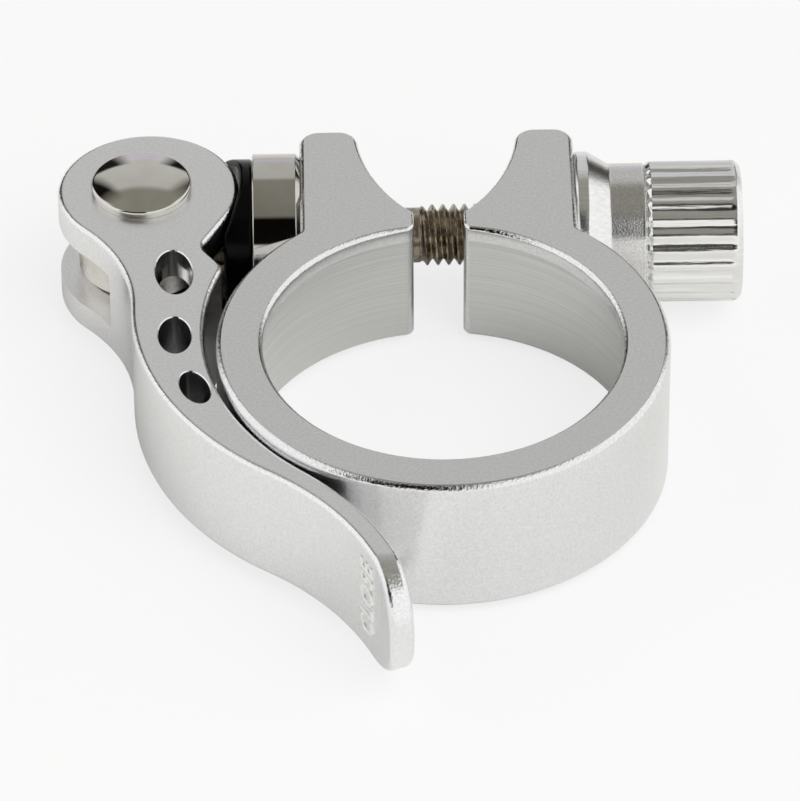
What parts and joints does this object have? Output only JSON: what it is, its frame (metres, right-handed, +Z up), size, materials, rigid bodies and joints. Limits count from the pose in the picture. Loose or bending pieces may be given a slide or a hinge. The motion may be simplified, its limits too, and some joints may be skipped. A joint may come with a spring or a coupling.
{
  "type": "quick-release seatpost clamp",
  "caption": "Split collar that clamps a seatpost in a bicycle seat tube, closed by a pivoting cam lever with a hand nut on the far end of its skewer.",
  "frame": {"origin": "on the bore's axis at half the collar's height", "axes": "+Z up the seat tube, +Y to the split and its ears, +X along the skewer to the thumb nut"},
  "size_m": [0.0629, 0.0647, 0.0154],
  "materials": {
    "polished_collar": "tumbled and polished silver aluminium, fine satin on the flat faces",
    "plated_spacer": "turned and bright plated, mirror smooth",
    "black_washer": "moulded black plastic, glossy",
    "steel_rod": "oiled steel with a rolled thread",
    "polished_lever": "forged and polished silver aluminium",
    "polished_pin": "bright plated steel, mirror smooth",
    "plated_nut": "turned, fluted and bright plated"
  },
  "bodies": {
    "collar": {"clamp_collar": "polished_collar", "spacer_ferrule": "plated_spacer", "cam_washer": "black_washer"},
    "skewer": {"skewer_eye_rod": "steel_rod"},
    "lever": {"qr_lever": "polished_lever", "pivot_pin": "polished_pin"},
    "nut": {"thumb_nut": "plated_nut"}
  },
  "joints": [
    {"name": "nut_turn", "type": "hinge", "parent": "collar", "child": "nut", "pos_m": [0.015, 0.02369, 0], "axis": [1, 0, 0], "range_deg": [0, 1080]},
    {"name": "skewer_slide", "type": "slide", "parent": "collar", "child": "skewer", "axis": [-1, 0, 0], "range_m": [0, 0.0031]},
    {"name": "lever_swing", "type": "hinge", "parent": "skewer", "child": "lever", "pos_m": [-0.02721, 0.02369, 0], "axis": [0, 0, 1], "range_deg": [-180, 0]}
  ],
  "couplings": [
    {"joint": "skewer_slide", "follows": "nut_turn", "m_per_rad": 0.00015915}
  ]
}
